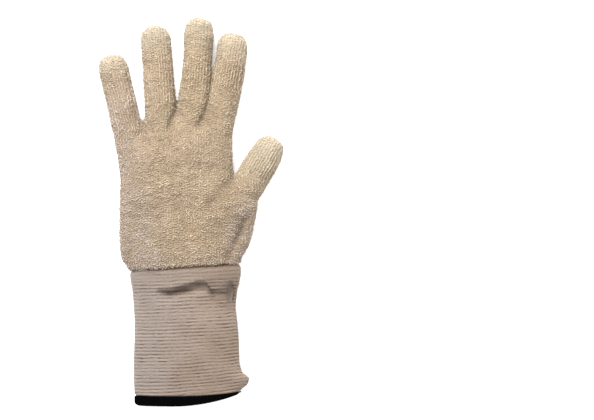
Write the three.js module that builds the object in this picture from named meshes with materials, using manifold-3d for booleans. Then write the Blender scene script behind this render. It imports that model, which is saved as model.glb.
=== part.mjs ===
// A heat-resistant terry cloth glove with a long knitted cuff, lying flat on its palm or back.
// Millimetres. +Z is up, +Y runs from the cuff to the fingertips and +X points to the thumb's side.
// The origin is on the surface that the glove lies on, in the middle of the glove's outline.
// Inside this file the glove is drawn from the middle of the seam that joins hand and cuff.

import * as THREE from "three";
import Module from "manifold-3d";

const wasm = await Module();
wasm.setup();

// Driving sizes of the terry hand
const PALM_LENGTH = 138;
const PALM_WIDTH = 128;
const PALM_THICKNESS = 34;
const TERRY_WALL = 4;
const WEB_LENGTH = 8;
const KNUCKLE_SLOPE = 0.2;
const KNUCKLE_REACH = 55;

// Driving sizes of the joining seam, where the hand's wall is turned in over the cuff
const SEAM_WIDTH = 102;
const SEAM_THICKNESS = 31;
const SEAM_SLOPE = 0.07;
const SEAM_STEP = 1;
const SEAM_TUCK = 7;
const SEAM_LEAN_REACH = 40;

// Driving sizes of the knitted cuff
const CUFF_LENGTH = 127.5;
const CUFF_WIDTH = 96;
const CUFF_THICKNESS = 30;
const KNIT_WALL = 2.5;
const RIB_PITCH = 3.16;
const RIB_DEPTH = 0.8;
const SIDE_SEAM_DEPTH = 1.2;
const SIDE_SEAM_SHARE = 0.54;
const SIDE_SEAM_START = 6.3;
const SIDE_SEAM_WIDTH = 3.6;
const SIDE_SEAM_THICKNESS = 1.1;

// Driving sizes of the black hem, a binding folded over the cuff's end. Its two edges rise on the
// thumb's side, from a place across the cuff that is a share of its width.
const HEM_HEIGHT = 8;
const HEM_THICKNESS = 1.2;
const HEM_TOP_RISE = 4;
const HEM_END_RISE = 10;
const RISE_START = -0.125;

// Clearance between sewn pieces, and how far the cloth is pressed flat where it rests
const SEWN_GAP = 0.3;
const REST_PRESS = 1;

// Driving sizes of the digits, of which the middle finger is the longest
const DIGIT_LENGTH = 123.2;
const DIGIT_WIDTH = 30;
const DIGIT_THICKNESS = 25;

// Each digit: where its middle line starts in the palm as shares of the palm's length and width, how
// far it leans and, as a share of its width, bows towards the thumb's side, its own length, width and
// thickness as shares of the digits' sizes, and its width at the lowest joint, at the middle joint and
// at the pad as shares of its width at the root. Leans are in degrees.
const DIGITS = [
  {
    name: "little",
    ...{ along: 0.76, across: -0.377, lean: -13.2, bow: 0 },
    ...{ long: 0.743, wide: 0.957, thick: 0.96, low: 0.995, joint: 0.98, pad: 0.99 },
  },
  {
    name: "ring",
    ...{ along: 0.76, across: -0.157, lean: -3.9, bow: 0 },
    ...{ long: 0.944, wide: 1.007, thick: 1, low: 1, joint: 0.97, pad: 0.97 },
  },
  {
    name: "middle",
    ...{ along: 0.76, across: 0.04, lean: 3.8, bow: 0.02 },
    ...{ long: 1, wide: 0.993, thick: 1.02, low: 1.1, joint: 0.92, pad: 0.97 },
  },
  {
    name: "index",
    ...{ along: 0.76, across: 0.2, lean: 10, bow: 0.05 },
    ...{ long: 0.898, wide: 0.953, thick: 1, low: 1.02, joint: 1.06, pad: 1.04 },
  },
  {
    name: "thumb",
    ...{ along: 0.4, across: 0.364, lean: 30.3, bow: 0 },
    ...{ long: 0.588, wide: 1.053, thick: 1.04, low: 1, joint: 1, pad: 0.93 },
  },
];
const DIGIT_SECTIONS = [
  { along: 0, wide: () => 0.84, tall: 0.84 },
  { along: 0.25, wide: () => 1, tall: 1 },
  { along: 0.38, wide: (digit) => digit.low, tall: 1 },
  { along: 0.64, wide: (digit) => digit.joint, tall: 1 },
  { along: 0.84, wide: (digit) => digit.pad, tall: 1 },
  { along: 1, wide: (digit) => digit.pad, tall: 1 },
];

// The section at the seam, which hand and cuff share, as shares of the sizes of either
function seamSection(width, thickness) {
  const half = SEAM_WIDTH / 2 / width;
  return { along: 0, left: -half, right: half, thick: SEAM_THICKNESS / thickness };
}

// Sections of the palm: along is a share of its length, the two edges of its width, thick of its
// thickness.
const PALM_SECTIONS = [
  seamSection(PALM_WIDTH, PALM_THICKNESS),
  { along: 0.025, left: -0.425, right: 0.405, thick: 0.96 },
  { along: 0.055, left: -0.452, right: 0.428, thick: 0.985 },
  { along: 0.085, left: -0.464, right: 0.443, thick: 1 },
  { along: 0.152, left: -0.471, right: 0.477, thick: 1 },
  { along: 0.254, left: -0.476, right: 0.497, thick: 0.99 },
  { along: 0.435, left: -0.476, right: 0.525, thick: 0.98 },
  { along: 0.507, left: -0.47, right: 0.45, thick: 0.96 },
  { along: 0.58, left: -0.466, right: 0.36, thick: 0.94 },
  { along: 0.652, left: -0.475, right: 0.345, thick: 0.91 },
  { along: 0.761, left: -0.488, right: 0.342, thick: 0.86 },
  { along: 0.87, left: -0.507, right: 0.342, thick: 0.8 },
  { along: 0.942, left: -0.515, right: 0.342, thick: 0.72 },
  { along: 1, left: -0.5, right: 0.33, thick: 0.58 },
];

// The web of cloth between the fingers' roots: along is a share of its length, and the palm's last
// section is drawn in by wide and tall.
const WEB_SECTIONS = [
  { along: 0.7, wide: 0.79, tall: 0.72 },
  { along: 1, wide: 0.55, tall: 0.4 },
];

// Sections of the cuff, counted down from the seam as shares of the cuff's own sizes
const CUFF_SECTIONS = [
  seamSection(CUFF_WIDTH, CUFF_THICKNESS),
  { along: 0.06, left: -0.525, right: 0.536, thick: 1 },
  { along: 0.135, left: -0.512, right: 0.521, thick: 0.96 },
  { along: 0.19, left: -0.502, right: 0.498, thick: 0.92 },
  { along: 0.29, left: -0.493, right: 0.484, thick: 0.92 },
  { along: 0.4, left: -0.487, right: 0.5, thick: 0.95 },
  { along: 0.52, left: -0.489, right: 0.513, thick: 0.95 },
  { along: 0.7, left: -0.492, right: 0.524, thick: 0.93 },
  { along: 0.77, left: -0.492, right: 0.546, thick: 0.91 },
  { along: 0.835, left: -0.492, right: 0.616, thick: 0.88 },
  { along: 0.875, left: -0.49, right: 0.598, thick: 0.86 },
  { along: 0.92, left: -0.486, right: 0.535, thick: 0.85 },
  { along: 1, left: -0.486, right: 0.535, thick: 0.85 },
];

// The corners of the side seam's strip, as shares of its width, of its groove's depth and of its thickness
const SIDE_SEAM_SECTION = [
  { wide: 0, groove: 0.75, thick: 0 },
  { wide: -0.5, groove: 0.5, thick: 0 },
  { wide: -0.4, groove: 0.5, thick: 1 },
  { wide: 0.4, groove: 0.5, thick: 1 },
  { wide: 0.5, groove: 0.5, thick: 0 },
];

// Dents in the upper cloth: where they are and how far they reach along and across as shares of the
// length and width of the piece that they are in, and how deep they are as a share of its thickness.
// turn is the way that the long side runs, in degrees from straight across.
const PALM_DENTS = [
  { along: 0.96, across: -0.315, reachAlong: 0.13, reachAcross: 0.045, depth: 0.15, turn: 0 },
  { along: 1.0, across: -0.082, reachAlong: 0.16, reachAcross: 0.04, depth: 0.17, turn: 0 },
  { along: 1.0, across: 0.165, reachAlong: 0.16, reachAcross: 0.04, depth: 0.17, turn: 0 },
  { along: 0.62, across: 0.16, reachAlong: 0.09, reachAcross: 0.15, depth: 0.05, turn: -35 },
  { along: 0.4, across: -0.12, reachAlong: 0.08, reachAcross: 0.26, depth: 0.045, turn: 12 },
  { along: 0.2, across: 0.42, reachAlong: 0.12, reachAcross: 0.06, depth: 0.07, turn: 20 },
];
const CUFF_DENTS = [
  { along: 0.165, across: 0.06, reachAlong: 0.035, reachAcross: 0.2, depth: 0.1, turn: -10 },
  { along: 0.19, across: 0.3, reachAlong: 0.04, reachAcross: 0.14, depth: 0.13, turn: 28 },
  { along: 0.225, across: 0.455, reachAlong: 0.09, reachAcross: 0.055, depth: 0.24, turn: 0 },
  { along: 0.86, across: 0.4, reachAlong: 0.06, reachAcross: 0.16, depth: 0.09, turn: 20 },
];

// How finely the surfaces are divided. Each radian of bend counts as a length when corners are spaced.
const OUTSIDE = { palmSides: 38, palmStep: 9, digitSides: 16, digitStep: 10, domeRings: 4 };
const INSIDE = { palmSides: 28, palmStep: 16, digitSides: 12, digitStep: 18, domeRings: 3 };
const CUFF_SIDES = 26;
const CUFF_INSIDE_RINGS = 8;
const SEAM_RINGS = 14;
const FINE_OVAL = 240;
const BEND_LENGTH = 12;

// The ovals' roundness: 2 is an ellipse, and a higher number is squarer. A digit's dome is a share of
// its width long, and rounder at the tip with a lower fullness.
const ROUND_ABOVE = 2.15;
const ROUND_BELOW = 3;
const DOME_SHARE = 0.48;
const DOME_ARC = 0.47 * Math.PI;
const DOME_FULLNESS = 0.72;

// A smooth curve through one column of a table, at a place along it
function column(table, name, along) {
  const last = table.length - 1;
  const next = Math.min(Math.max(table.findIndex((row) => row.along > along), 1), last);
  const i = along >= table[last].along ? last : next;
  const [from, to] = [table[i - 1], table[i]];
  const slope = (a, b) => (b[name] - a[name]) / (b.along - a.along);
  const chord = slope(from, to);
  const smaller = (side) => Math.sign(chord) * Math.min(Math.abs(side), Math.abs(chord));
  const easing = (side) => (side * chord <= 0 ? 0 : smaller(side));
  const startSlope = i > 1 ? easing(slope(table[i - 2], from)) : chord;
  const endSlope = i < last ? easing(slope(to, table[i + 1])) : chord;
  const width = to.along - from.along;
  const t = THREE.MathUtils.clamp((along - from.along) / width, 0, 1);
  const [t2, t3] = [t * t, t * t * t];
  return (
    (2 * t3 - 3 * t2 + 1) * from[name] +
    (t3 - 2 * t2 + t) * width * startSlope +
    (3 * t2 - 2 * t3) * to[name] +
    (t3 - t2) * width * endSlope
  );
}

// How deep the dents of a table push the upper cloth down at a place, as a share of the thickness
function dentAt(dents, along, across, length, width) {
  let depth = 0;
  for (const dent of dents) {
    const turn = THREE.MathUtils.degToRad(dent.turn);
    const away = (across - dent.across) * width;
    const ahead = (along - dent.along) * length;
    const long = (away * Math.cos(turn) + ahead * Math.sin(turn)) / (dent.reachAcross * width);
    const short = (ahead * Math.cos(turn) - away * Math.sin(turn)) / (dent.reachAlong * length);
    depth += dent.depth * Math.exp(-long * long - short * short);
  }
  return depth;
}

// Points round a flattened oval, {x, z, up}, from its right end over the top, closer together where it
// bends more. It is drawn a little lower than it lies and pressed flat underneath, an inset above the
// floor. up is 1 at the top of the oval, 0 at its middle height and -1 at its bottom.
function oval(left, right, height, inset, sides) {
  const [bottom, top] = [inset - REST_PRESS, height - inset];
  const [middleX, middleZ] = [(left + right) / 2, (bottom + top) / 2];
  const [halfX, halfZ] = [(right - left) / 2, (top - bottom) / 2];
  const fine = [];
  for (let i = 0; i <= FINE_OVAL; i++) {
    const angle = (2 * Math.PI * i) / FINE_OVAL;
    const [c, s] = [Math.cos(angle), Math.sin(angle)];
    const power = 2 / (s > 0 ? ROUND_ABOVE : ROUND_BELOW);
    const up = Math.sign(s) * Math.abs(s) ** power;
    fine.push({ x: middleX + halfX * Math.sign(c) * Math.abs(c) ** power, z: middleZ + halfZ * up, up });
  }
  const reached = [0];
  const heading = (i) => Math.atan2(fine[i].z - fine[i - 1].z, fine[i].x - fine[i - 1].x);
  for (let i = 1; i <= FINE_OVAL; i++) {
    const step = Math.hypot(fine[i].x - fine[i - 1].x, fine[i].z - fine[i - 1].z);
    const turn = i > 1 ? heading(i) - heading(i - 1) : 0;
    const bend = Math.abs(Math.atan2(Math.sin(turn), Math.cos(turn)));
    reached.push(reached[i - 1] + step + BEND_LENGTH * bend);
  }
  const points = [];
  for (let k = 0, i = 1; k < sides; k++) {
    const wanted = (reached[FINE_OVAL] * k) / sides;
    while (reached[i] < wanted) i++;
    const t = (wanted - reached[i - 1]) / (reached[i] - reached[i - 1]);
    points.push({
      x: THREE.MathUtils.lerp(fine[i - 1].x, fine[i].x, t),
      z: Math.max(inset, THREE.MathUtils.lerp(fine[i - 1].z, fine[i].z, t)),
      up: THREE.MathUtils.lerp(fine[i - 1].up, fine[i].up, t),
    });
  }
  return points;
}

// A closed surface through rings of points that follow each other towards the cuff. Its ends are
// closed by flat fans, or the last ring is joined to the first where the surface is a wall that
// closes on itself.
function loftSurface(rings, closesOnItself) {
  const sides = rings[0].length;
  const points = rings.flat();
  const faces = [];
  const ringCount = closesOnItself ? rings.length : rings.length - 1;
  for (let j = 0; j < ringCount; j++) {
    const [near, far] = [j * sides, ((j + 1) % rings.length) * sides];
    for (let k = 0; k < sides; k++) {
      const next = (k + 1) % sides;
      faces.push(near + k, near + next, far + next, near + k, far + next, far + k);
    }
  }
  const closeEnd = (start, turned) => {
    const middle = new THREE.Vector3();
    for (let k = 0; k < sides; k++) middle.addScaledVector(points[start + k], 1 / sides);
    const hub = points.push(middle) - 1;
    for (let k = 0; k < sides; k++) {
      const next = (k + 1) % sides;
      faces.push(hub, start + (turned ? next : k), start + (turned ? k : next));
    }
  };
  if (!closesOnItself) {
    closeEnd(0, true);
    closeEnd((rings.length - 1) * sides, false);
  }
  return new wasm.Manifold(
    new wasm.Mesh({
      numProp: 3,
      vertProperties: new Float32Array(points.flatMap((p) => [p.x, p.y, p.z])),
      triVerts: new Uint32Array(faces),
    }),
  );
}

// How much of the seam's slope is left at a distance from the seam
const seamLean = (x, away) => SEAM_SLOPE * x * Math.max(0, 1 - away / SEAM_LEAN_REACH);

// How far the line of the knuckles' slope moves the palm at a distance from its far end: the web
// beside the little finger is nearer to the cuff than the one beside the index finger
const knuckleLean = (x, left) =>
  KNUCKLE_SLOPE * x * THREE.MathUtils.smoothstep(KNUCKLE_REACH - left, 0, KNUCKLE_REACH);

// The palm, or its hollow when it is drawn smaller all round by the cloth's thickness
function palmSolid(inset, fineness) {
  const length = PALM_LENGTH - inset;
  const ring = (along, y) => {
    const thickness = column(PALM_SECTIONS, "thick", along) * PALM_THICKNESS;
    const left = column(PALM_SECTIONS, "left", along) * PALM_WIDTH + inset;
    const right = column(PALM_SECTIONS, "right", along) * PALM_WIDTH - inset;
    return oval(left, right, thickness, inset, fineness.palmSides).map((p) => {
      const dent = dentAt(PALM_DENTS, along, p.x / PALM_WIDTH, PALM_LENGTH, PALM_WIDTH);
      const z = p.z - dent * PALM_THICKNESS * Math.max(0, p.up);
      const lean = seamLean(p.x, Math.max(0, y)) + knuckleLean(p.x, length - y);
      return new THREE.Vector3(p.x, y + lean, z);
    });
  };
  const count = Math.ceil(length / fineness.palmStep);
  const early = [0, PALM_SECTIONS[1].along / 2, PALM_SECTIONS[1].along];
  const later = Array.from({ length: count }, (_, i) => (i + 1) / count);
  const rings = [...early, ...later].map((along) => ring(along, along * length));
  if (inset > 0) rings.unshift(ring(0, -inset));
  const last = rings[rings.length - 1];
  for (const section of WEB_SECTIONS) rings.push(webRing(last, section));
  return loftSurface(rings.reverse(), false);
}

// A ring moved on along the hand and drawn in towards its own middle
function webRing(ring, { along, wide, tall }) {
  const middle = new THREE.Box3().setFromPoints(ring).getCenter(new THREE.Vector3());
  return ring.map((p) => {
    const z = THREE.MathUtils.lerp(middle.z, p.z, tall);
    return new THREE.Vector3(THREE.MathUtils.lerp(middle.x, p.x, wide), p.y + along * WEB_LENGTH, z);
  });
}

// A finger or the thumb, from inside the palm to its domed tip, or its hollow
function digitSolid(digit, inset, fineness) {
  const lean = THREE.MathUtils.degToRad(digit.lean);
  const ahead = new THREE.Vector3(Math.sin(lean), Math.cos(lean), 0);
  const across = new THREE.Vector3(Math.cos(lean), -Math.sin(lean), 0);
  const root = new THREE.Vector3(digit.across * PALM_WIDTH, digit.along * PALM_LENGTH, 0);
  const sections = DIGIT_SECTIONS.map(({ along, wide, tall }) => ({ along, wide: wide(digit), tall }));
  const length = digit.long * DIGIT_LENGTH;
  const width = digit.wide * DIGIT_WIDTH;
  const thickness = digit.thick * DIGIT_THICKNESS;
  const domeLength = DOME_SHARE * width - inset;
  const straight = length - inset - domeLength;
  const count = Math.ceil(straight / fineness.digitStep);
  const stations = [];
  for (let i = 0; i <= count; i++) stations.push({ at: (i / count) * straight, size: 1 });
  for (let i = 1; i <= fineness.domeRings; i++) {
    const angle = (DOME_ARC * i) / fineness.domeRings;
    stations.push({ at: straight + domeLength * Math.sin(angle), size: Math.cos(angle) ** DOME_FULLNESS });
  }
  const rings = stations.map(({ at, size }) => {
    const along = at / length;
    const half = (width / 2) * column(sections, "wide", along) - inset;
    const bowed = digit.bow * width * Math.sin(Math.PI * along);
    const tall = size * column(sections, "tall", along);
    return oval(-half, half, thickness, inset, fineness.digitSides).map((p) => {
      const place = root.clone().addScaledVector(ahead, at).addScaledVector(across, bowed + p.x * size);
      return place.setZ(THREE.MathUtils.lerp(thickness / 2, p.z, tall));
    });
  });
  return loftSurface(rings.reverse(), false);
}

// The hand or its hollow: palm and digits joined into one
function handForm(inset, fineness) {
  const palm = palmSolid(inset, fineness);
  return DIGITS.reduce((form, digit) => form.add(digitSolid(digit, inset, fineness)), palm);
}

// One ring of the cuff, drawn smaller all round by an inset. Towards its end the cuff rises on the
// thumb's side, and its very end rises more than the rest.
function cuffRing(along, inset, rise = HEM_TOP_RISE * along ** 3) {
  const thickness = column(CUFF_SECTIONS, "thick", along) * CUFF_THICKNESS;
  const left = column(CUFF_SECTIONS, "left", along) * CUFF_WIDTH + inset;
  const right = column(CUFF_SECTIONS, "right", along) * CUFF_WIDTH - inset;
  return oval(left, right, thickness, inset, CUFF_SIDES).map((p) => {
    const dent = dentAt(CUFF_DENTS, along, p.x / CUFF_WIDTH, CUFF_LENGTH, CUFF_WIDTH);
    const z = p.z - dent * CUFF_THICKNESS * Math.max(0, p.up);
    const lifted = rise * Math.max(0, (p.x / CUFF_WIDTH - RISE_START) / (0.5 - RISE_START)) ** 2;
    return new THREE.Vector3(p.x, -along * CUFF_LENGTH + seamLean(p.x, along * CUFF_LENGTH) + lifted, z);
  });
}

// The turned-in top of the cuff, inside the hand's mouth
function tuckRing(y, inset) {
  const half = SEAM_WIDTH / 2 - inset;
  const ring = oval(-half, half, SEAM_THICKNESS, inset, CUFF_SIDES);
  return ring.map((p) => new THREE.Vector3(p.x, y + seamLean(p.x, 0), p.z));
}

// Where the side seam runs: the corner of each ring that it follows, on the little finger's side and
// below the middle height, with the ways out of the cuff and round it there
const SEAM_CORNER = Math.round(CUFF_SIDES * SIDE_SEAM_SHARE);
function seamFrame(ring) {
  const around = ring[SEAM_CORNER + 1].clone().sub(ring[SEAM_CORNER - 1]).setY(0).normalize();
  return { at: ring[SEAM_CORNER], around, out: new THREE.Vector3(around.z, 0, -around.x) };
}

// A ring of the cuff with the shallow groove that the side seam lies in
function grooved(ring) {
  const { at, out } = seamFrame(ring);
  return ring.map((p, k) => (k === SEAM_CORNER ? at.clone().addScaledVector(out, -SIDE_SEAM_DEPTH) : p));
}

// The overlocked side seam, a flat strip from just below the hand to just above the hem
function sideSeamSolid() {
  const crest = SEAM_STEP - RIB_DEPTH;
  const from = SIDE_SEAM_START / CUFF_LENGTH;
  const to = 1 - (HEM_HEIGHT + HEM_THICKNESS + SIDE_SEAM_START) / CUFF_LENGTH;
  const rings = Array.from({ length: SEAM_RINGS + 1 }, (_, i) => {
    const { at, around, out } = seamFrame(cuffRing(THREE.MathUtils.lerp(from, to, i / SEAM_RINGS), crest));
    return SIDE_SEAM_SECTION.map(({ wide, groove, thick }) =>
      at
        .clone()
        .addScaledVector(around, wide * SIDE_SEAM_WIDTH)
        .addScaledVector(out, SEWN_GAP - groove * SIDE_SEAM_DEPTH + thick * SIDE_SEAM_THICKNESS),
    );
  });
  return loftSurface(rings, false);
}

// The knitted cuff: a tube of level ribs with its top turned in under the hand, and a plain thinner
// end that the hem is folded over
function cuffSolid() {
  const hemTop = CUFF_LENGTH - HEM_HEIGHT - SEWN_GAP - HEM_THICKNESS;
  const hemInset = HEM_THICKNESS + SEWN_GAP;
  const thinnedInset = hemInset + KNIT_WALL - HEM_THICKNESS;
  const end = 1 - (HEM_THICKNESS + SEWN_GAP) / CUFF_LENGTH;
  const tuckOutside = TERRY_WALL + SEWN_GAP;
  const rings = [tuckRing(SEAM_TUCK, tuckOutside), tuckRing(-SEWN_GAP, tuckOutside)];
  const shoulder = SEWN_GAP / CUFF_LENGTH;
  const ribs = Math.floor((hemTop - 2 * SEWN_GAP) / RIB_PITCH);
  for (let i = 0; i <= ribs; i++) {
    const groove = shoulder + (i * RIB_PITCH) / CUFF_LENGTH;
    rings.push(grooved(cuffRing(groove, SEAM_STEP)));
    if (i < ribs) {
      const crest = groove + RIB_PITCH / 2 / CUFF_LENGTH;
      rings.push(grooved(cuffRing(crest, SEAM_STEP - RIB_DEPTH)));
    }
  }
  const plainStart = [hemTop / CUFF_LENGTH, 1 - (HEM_HEIGHT + HEM_THICKNESS) / CUFF_LENGTH];
  for (const along of plainStart) rings.push(cuffRing(along, hemInset));
  rings.push(cuffRing(end, hemInset, HEM_END_RISE));
  rings.push(cuffRing(end, thinnedInset, HEM_END_RISE));
  for (const along of plainStart.reverse()) rings.push(cuffRing(along, thinnedInset));
  for (let i = CUFF_INSIDE_RINGS; i >= 0; i--) {
    const away = THREE.MathUtils.lerp(SEAM_TUCK, hemTop, i / CUFF_INSIDE_RINGS);
    rings.push(cuffRing(away / CUFF_LENGTH, SEAM_STEP + KNIT_WALL));
  }
  rings.push(tuckRing(-SEWN_GAP, tuckOutside + KNIT_WALL), tuckRing(SEAM_TUCK, tuckOutside + KNIT_WALL));
  return loftSurface(rings, true);
}

// The black hem: a strip folded over the cuff's end, so its section is a U
function hemSolid() {
  const top = 1 - (HEM_HEIGHT + HEM_THICKNESS) / CUFF_LENGTH;
  const end = 1;
  const foldInside = 1 - HEM_THICKNESS / CUFF_LENGTH;
  const knitInset = HEM_THICKNESS + SEWN_GAP;
  const insideFace = knitInset + KNIT_WALL - HEM_THICKNESS + SEWN_GAP;
  return loftSurface(
    [
      cuffRing(top, 0),
      cuffRing(end, 0, HEM_END_RISE),
      cuffRing(end, insideFace + HEM_THICKNESS, HEM_END_RISE),
      cuffRing(top, insideFace + HEM_THICKNESS),
      cuffRing(top, insideFace),
      cuffRing(foldInside, insideFace, HEM_END_RISE),
      cuffRing(foldInside, HEM_THICKNESS, HEM_END_RISE),
      cuffRing(top, HEM_THICKNESS),
    ],
    true,
  );
}

// A solid as a named mesh
function pieceOf(name, solid, material) {
  const made = solid.getMesh();
  const geometry = new THREE.BufferGeometry();
  geometry.setAttribute("position", new THREE.BufferAttribute(new Float32Array(made.vertProperties), 3));
  geometry.setIndex(new THREE.BufferAttribute(new Uint32Array(made.triVerts), 1));
  geometry.computeVertexNormals();
  const mesh = new THREE.Mesh(geometry, material);
  mesh.name = name;
  return mesh;
}

const terryCotton = new THREE.MeshStandardMaterial({ color: 0xd9c7a8, roughness: 0.95, metalness: 0 });
const ribbedCotton = new THREE.MeshStandardMaterial({ color: 0xc3b09c, roughness: 0.92, metalness: 0 });
const seamThread = new THREE.MeshStandardMaterial({ color: 0xcfc4b4, roughness: 0.85, metalness: 0 });
const blackBinding = new THREE.MeshStandardMaterial({ color: 0x0b0b0c, roughness: 0.85, metalness: 0 });

const hand = handForm(0, OUTSIDE).subtract(handForm(TERRY_WALL, INSIDE));

const lying = new THREE.Group();
lying.add(pieceOf("terry_hand", hand, terryCotton));
lying.add(pieceOf("knit_cuff", cuffSolid(), ribbedCotton));
lying.add(pieceOf("side_seam", sideSeamSolid(), seamThread));
lying.add(pieceOf("hem_binding", hemSolid(), blackBinding));

const outline = new THREE.Box3().setFromObject(lying);
const middle = outline.getCenter(new THREE.Vector3());
lying.position.set(-middle.x, -middle.y, -outline.min.z);

const glove = new THREE.Group();
glove.add(lying);
export default glove;
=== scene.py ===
# A heat-resistant terry cloth glove with a long knitted cuff, lying flat, dressed over its solids.
# The surfaces are worked out in millimetres, from the middle of the seam that joins hand and cuff,
# and are moved into the frame's own place in metres when their meshes are written.

import bpy
import numpy as np
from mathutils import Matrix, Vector
from mathutils.bvhtree import BVHTree


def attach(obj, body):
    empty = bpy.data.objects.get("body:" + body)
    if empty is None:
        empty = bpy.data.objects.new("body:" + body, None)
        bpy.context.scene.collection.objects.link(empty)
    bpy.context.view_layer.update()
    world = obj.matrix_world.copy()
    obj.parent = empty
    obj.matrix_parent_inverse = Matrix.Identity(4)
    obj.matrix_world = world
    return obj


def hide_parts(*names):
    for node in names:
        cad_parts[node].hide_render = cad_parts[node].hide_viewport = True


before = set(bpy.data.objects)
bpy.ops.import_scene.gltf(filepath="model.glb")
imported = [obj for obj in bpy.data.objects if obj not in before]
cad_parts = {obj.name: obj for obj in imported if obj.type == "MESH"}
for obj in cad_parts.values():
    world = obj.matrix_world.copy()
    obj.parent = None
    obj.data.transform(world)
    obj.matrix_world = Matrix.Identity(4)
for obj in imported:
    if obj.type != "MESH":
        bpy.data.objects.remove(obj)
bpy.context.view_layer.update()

bl_info = {
    "name": "Terry Cloth Glove",
    "version": (1, 0, 0),
    "blender": (4, 5, 0),
    "location": "View3D > Sidebar > Glove",
    "description": "Dresses the solids of a long-cuffed terry cloth glove as cloth, loops and knit",
    "category": "Object",
}

# One millimetre in metres, and the way from the seam's middle to the frame's origin in millimetres
MM = 0.001
TO_FRAME = np.array([-5.273, -50.210, 0.0])

# The hand's sizes that the solids have, in millimetres
PALM_LENGTH = 138.0
PALM_WIDTH = 128.0
DIGIT_LENGTH = 123.2
DIGIT_WIDTH = 30.0
DIGIT_THICKNESS = 25.0
TERRY_WALL = 4.0

# Distance between the columns of loops that run along the palm and the digits
WALE = 2.4

# Where each digit starts in the palm, its lean in degrees and its own length, width and thickness
# as shares of the digits' sizes
DIGITS = {
    "little": {"along": 0.76, "across": -0.377, "lean": -13.2, "long": 0.743, "wide": 0.957, "thick": 0.96},
    "ring": {"along": 0.76, "across": -0.157, "lean": -3.9, "long": 0.944, "wide": 1.007, "thick": 1.0},
    "middle": {"along": 0.76, "across": 0.04, "lean": 3.8, "long": 1.0, "wide": 0.993, "thick": 1.02},
    "index": {"along": 0.76, "across": 0.2, "lean": 10.0, "long": 0.898, "wide": 0.953, "thick": 1.0},
    "thumb": {"along": 0.4, "across": 0.364, "lean": 30.3, "long": 0.588, "wide": 1.053, "thick": 1.04},
}

# The cuff's sizes that the solids have, in millimetres
SEAM_WIDTH = 102.0
SEAM_THICKNESS = 31.0
SEAM_SLOPE = 0.07
SEAM_STEP = 1.0
SEAM_TUCK = 7.0
SEAM_LEAN_REACH = 40.0
CUFF_LENGTH = 127.5
CUFF_WIDTH = 96.0
CUFF_THICKNESS = 30.0
KNIT_WALL = 2.5
SIDE_SEAM_DEPTH = 1.2
SIDE_SEAM_START = 6.3
SIDE_SEAM_SHARE = 14 / 26
HEM_HEIGHT = 8.0
HEM_THICKNESS = 1.2
HEM_TOP_RISE = 4.0
HEM_END_RISE = 10.0
RISE_START = -0.125
SEWN_GAP = 0.3
REST_PRESS = 1.0
ROUND_ABOVE = 2.15
ROUND_BELOW = 3.0
BEND_LENGTH = 12.0
FINE_OVAL = 720

# Sections of the cuff down from the seam, as shares of the cuff's own sizes
HALF_SEAM = SEAM_WIDTH / 2 / CUFF_WIDTH
CUFF_SECTIONS = {
    "along": [0, 0.06, 0.135, 0.19, 0.29, 0.4, 0.52, 0.7, 0.77, 0.835, 0.875, 0.92, 1],
    "left": [-HALF_SEAM, -0.525, -0.512, -0.502, -0.493, -0.487, -0.489]
    + [-0.492, -0.492, -0.492, -0.49, -0.486, -0.486],
    "right": [HALF_SEAM, 0.536, 0.521, 0.498, 0.484, 0.5, 0.513]
    + [0.524, 0.546, 0.616, 0.598, 0.535, 0.535],
    "thick": [SEAM_THICKNESS / CUFF_THICKNESS, 1, 0.96, 0.92, 0.92, 0.95, 0.95]
    + [0.93, 0.91, 0.88, 0.86, 0.85, 0.85],
}

# Dents in the cuff's upper cloth: along, across, reach along, reach across, depth, turn in degrees
CUFF_DENTS = [
    (0.165, 0.06, 0.035, 0.2, 0.1, -10),
    (0.19, 0.3, 0.04, 0.14, 0.13, 28),
    (0.225, 0.455, 0.09, 0.055, 0.24, 0),
    (0.86, 0.4, 0.06, 0.16, 0.09, 20),
]

# Creases across the cuff below the seam: points of their lines, how far the cloth drops below the
# line, how high the roll above it stands, and how far down the drop reaches
CUFF_CREASES = [
    ([(-26, -21.5), (-12, -22), (4.6, -17.4), (12, -14.8), (19.2, -15.8), (24.5, -22.5), (38, -26)], 3.2, 1.2, 7.5),
    ([(6, -28.5), (20, -27.5), (31, -31.5), (42, -38)], 0.8, 0.5, 5.0),
    ([(-46, -7), (-30, -5.5), (-18, -8)], 0.8, 0.5, 3.0),
]

# Creases of the hand's upper cloth: points of their lines, depth and half width
HAND_CREASES = [
    ([(-8, 160), (-9.5, 142), (-16, 122)], 3.4, 2.4),
    ([(26, 182), (21, 150), (11, 122)], 3.4, 2.4),
    ([(-41, 136), (-37, 122), (-33, 108)], 1.8, 3.0),
    ([(46, 84), (38, 72), (16, 47)], 2.0, 4.5),
    ([(56, 46), (49, 28), (37, 3)], 3.4, 3.6),
    ([(-52, 40), (-30, 47), (4, 42)], 0.9, 6.0),
    ([(-20, 84), (4, 92), (28, 88)], 0.8, 5.0),
]


def to_frame(points):
    """Millimetres from the seam's middle as metres in the frame."""
    return (points + TO_FRAME) * MM


def column(table, name, along):
    """A smooth curve through one column of a table."""
    x, y = np.array(table["along"], float), np.array(table[name], float)
    chord = np.diff(y) / np.diff(x)
    smaller = np.minimum(abs(chord[:-1]), abs(chord[1:])) * np.sign(chord[1:])
    inner = np.where(chord[:-1] * chord[1:] > 0, smaller, 0)
    slope = np.concatenate([chord[:1], inner, chord[-1:]])
    i = np.clip(np.searchsorted(x, along, side="right") - 1, 0, len(x) - 2)
    width = x[i + 1] - x[i]
    t = np.clip((along - x[i]) / width, 0, 1)
    return (
        (2 * t**3 - 3 * t**2 + 1) * y[i]
        + (t**3 - 2 * t**2 + t) * width * slope[i]
        + (3 * t**2 - 2 * t**3) * y[i + 1]
        + (t**3 - t**2) * width * slope[i + 1]
    )


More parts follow.
